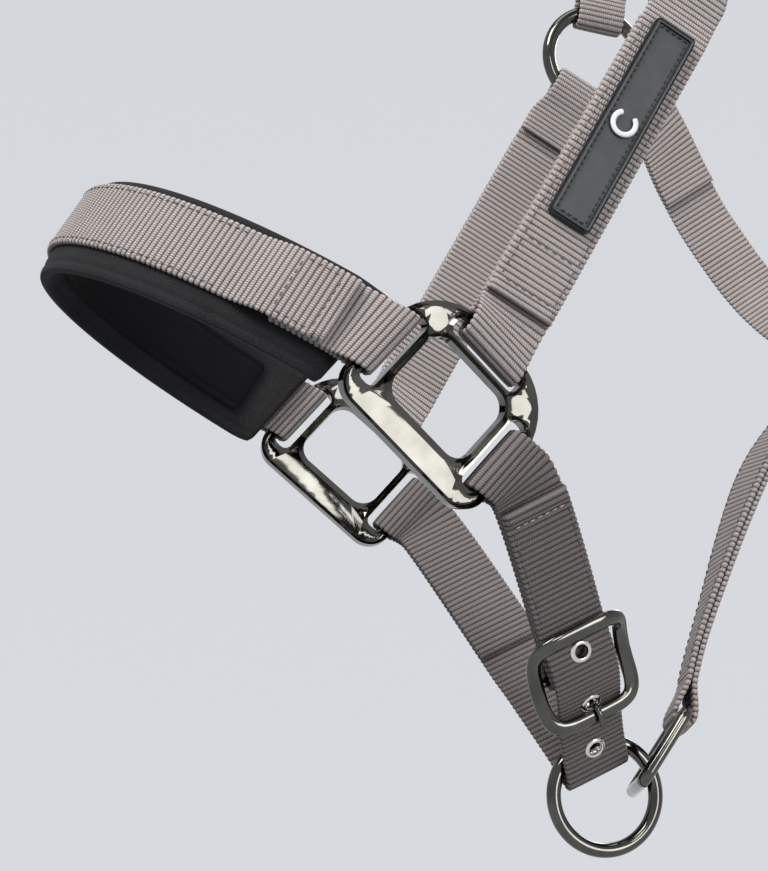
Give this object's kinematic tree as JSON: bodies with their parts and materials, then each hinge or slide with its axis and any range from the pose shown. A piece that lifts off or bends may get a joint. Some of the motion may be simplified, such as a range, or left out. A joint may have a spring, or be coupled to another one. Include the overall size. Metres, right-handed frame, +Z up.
{
  "type": "headcollar",
  "caption": "Horse headcollar of grey nylon webbing with a padded noseband and crown, square cheek fittings, bar buckles, a chin ring and a snap at the throat.",
  "frame": {"origin": "poll seat: the middle of the crown pad's underside, where the headcollar rests behind the horse's ears", "axes": "+Z up, -X towards the nose, -Y towards the horse's left (near) side, where the buckles and the snap are"},
  "size_m": [0.3344, 0.1581, 0.5762],
  "materials": {
    "webbing": "ribbed nylon webbing",
    "padding": "matt foam padding with a knitted face",
    "lining": "soft brushed lining",
    "badge_rubber": "satin moulded rubber",
    "gunmetal": "polished black nickel plate",
    "bright_nickel": "polished nickel plate"
  },
  "bodies": {
    "headcollar": {"near_square": "gunmetal", "far_square": "gunmetal", "noseband_webbing": "webbing", "noseband_near_loop": "webbing", "noseband_far_loop": "webbing", "noseband_pad": "padding", "noseband_lining": "lining", "near_cheek_strap": "webbing", "near_cheek_loop": "webbing", "far_cheek_strap": "webbing", "far_cheek_loop": "webbing", "badge": "badge_rubber", "badge_horseshoe": "bright_nickel", "chin_strap": "webbing", "chin_chape": "webbing", "chin_eyelet_1": "bright_nickel", "chin_eyelet_2": "bright_nickel", "chin_eyelet_3": "bright_nickel", "chin_eyelet_4": "bright_nickel", "chin_buckle_frame": "gunmetal", "crown_strap": "webbing", "crown_chape": "webbing", "crown_eyelet_1": "bright_nickel", "crown_eyelet_2": "bright_nickel", "crown_eyelet_3": "bright_nickel", "crown_eyelet_4": "bright_nickel", "crown_buckle_frame": "gunmetal", "crown_keeper": "webbing", "crown_pad": "padding", "crown_lining": "lining", "throatlash_strap": "webbing", "jowl_strap": "webbing", "snap_eye": "gunmetal"},
    "chin_ring": {"chin_ring": "gunmetal"},
    "jowl_link": {"jowl_link": "gunmetal"},
    "chin_tongue": {"chin_buckle_tongue": "gunmetal"},
    "crown_tongue": {"crown_buckle_tongue": "gunmetal"},
    "near_ring": {"near_cheek_ring": "gunmetal"},
    "far_ring": {"far_cheek_ring": "gunmetal"},
    "snap": {"snap_hook": "gunmetal", "snap_spring": "bright_nickel"},
    "bolt": {"snap_bolt": "bright_nickel"}
  },
  "joints": [
    {"name": "chin_ring_swing", "type": "hinge", "parent": "headcollar", "child": "chin_ring", "pos_m": [-0.06411, 0, -0.5306], "axis": [0.9078, 0, 0.4195], "range_deg": [-12, 12]},
    {"name": "jowl_link_swing", "type": "hinge", "parent": "headcollar", "child": "jowl_link", "pos_m": [-0.02859, 0, -0.51723], "axis": [0.238, 0.9563, -0.1698], "range_deg": [0, 12]},
    {"name": "chin_tongue_lift", "type": "hinge", "parent": "headcollar", "child": "chin_tongue", "pos_m": [-0.07736, -0.0272, -0.4995], "axis": [-0.9051, 0, -0.4252], "range_deg": [0, 4]},
    {"name": "crown_tongue_lift", "type": "hinge", "parent": "headcollar", "child": "crown_tongue", "pos_m": [-0.01602, -0.06413, -0.1305], "axis": [0.9925, 0, -0.1219], "range_deg": [0, 4]},
    {"name": "near_ring_turn", "type": "hinge", "parent": "headcollar", "child": "near_ring", "pos_m": [-0.02969, -0.069, -0.24183], "axis": [0, 1, 0], "continuous": true},
    {"name": "far_ring_turn", "type": "hinge", "parent": "headcollar", "child": "far_ring", "pos_m": [-0.02969, 0.069, -0.24183], "axis": [0, 1, 0], "continuous": true},
    {"name": "snap_turn", "type": "hinge", "parent": "headcollar", "child": "snap", "pos_m": [-0.00639, -0.0755, -0.27678], "axis": [0.5548, 0, -0.832], "range_deg": [-20, 20]},
    {"name": "bolt_slide", "type": "slide", "parent": "snap", "child": "bolt", "axis": [0.5548, 0, -0.832], "range_m": [0, 0.008], "stiffness_N_per_m": 200, "springref_m": -0.005, "deforming": ["snap_spring"]}
  ]
}
